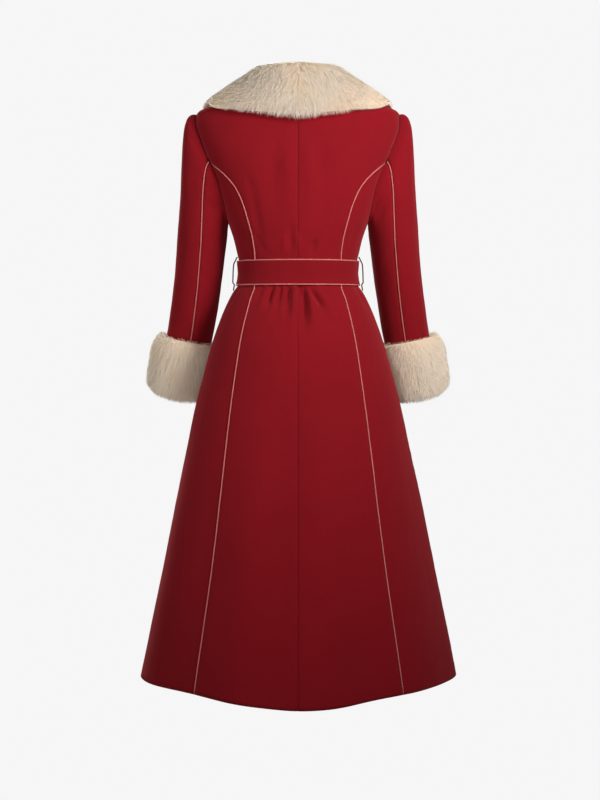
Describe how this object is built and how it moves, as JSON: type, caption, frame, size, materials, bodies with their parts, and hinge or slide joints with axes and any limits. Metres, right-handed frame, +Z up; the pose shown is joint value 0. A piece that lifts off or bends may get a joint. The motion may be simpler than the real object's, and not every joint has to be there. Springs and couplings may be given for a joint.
{
  "type": "belted wool coat with fur collar and cuffs",
  "caption": "Long fitted princess-line coat, flared skirt, deep fur collar, fur cuffs and a piped waist belt, filled out as if worn",
  "frame": {"origin": "the middle of the neck, level with the nape and the high points of the shoulders, where the wearer's shoulders carry the coat", "axes": "+Z up, -Y out of the coat's front, +X to the wearer's left"},
  "size_m": [0.636, 0.5006, 1.2248],
  "materials": {
    "wool": "matt brushed wool",
    "belt_wool": "matt pressed wool",
    "fur": "soft long-haired fur",
    "piping": "satin-covered cord"
  },
  "bodies": {
    "root": {"back_centre_left": "wool", "back_centre_right": "wool", "back_side_left": "wool", "back_side_right": "wool", "belt": "belt_wool", "belt_carrier_left": "belt_wool", "belt_carrier_right": "belt_wool", "belt_end": "belt_wool", "belt_piping_bottom": "piping", "belt_piping_top": "piping", "buckle": "belt_wool", "collar": "fur", "cuff_left": "fur", "cuff_right": "fur", "front_left": "wool", "front_right": "wool", "front_side_left": "wool", "front_side_right": "wool", "piping_back_left": "piping", "piping_back_right": "piping", "piping_front_left": "piping", "piping_front_right": "piping", "piping_sleeve_left": "piping", "piping_sleeve_right": "piping", "sleeve_under_left": "wool", "sleeve_under_right": "wool", "sleeve_upper_left": "wool", "sleeve_upper_right": "wool"}
  },
  "joints": []
}
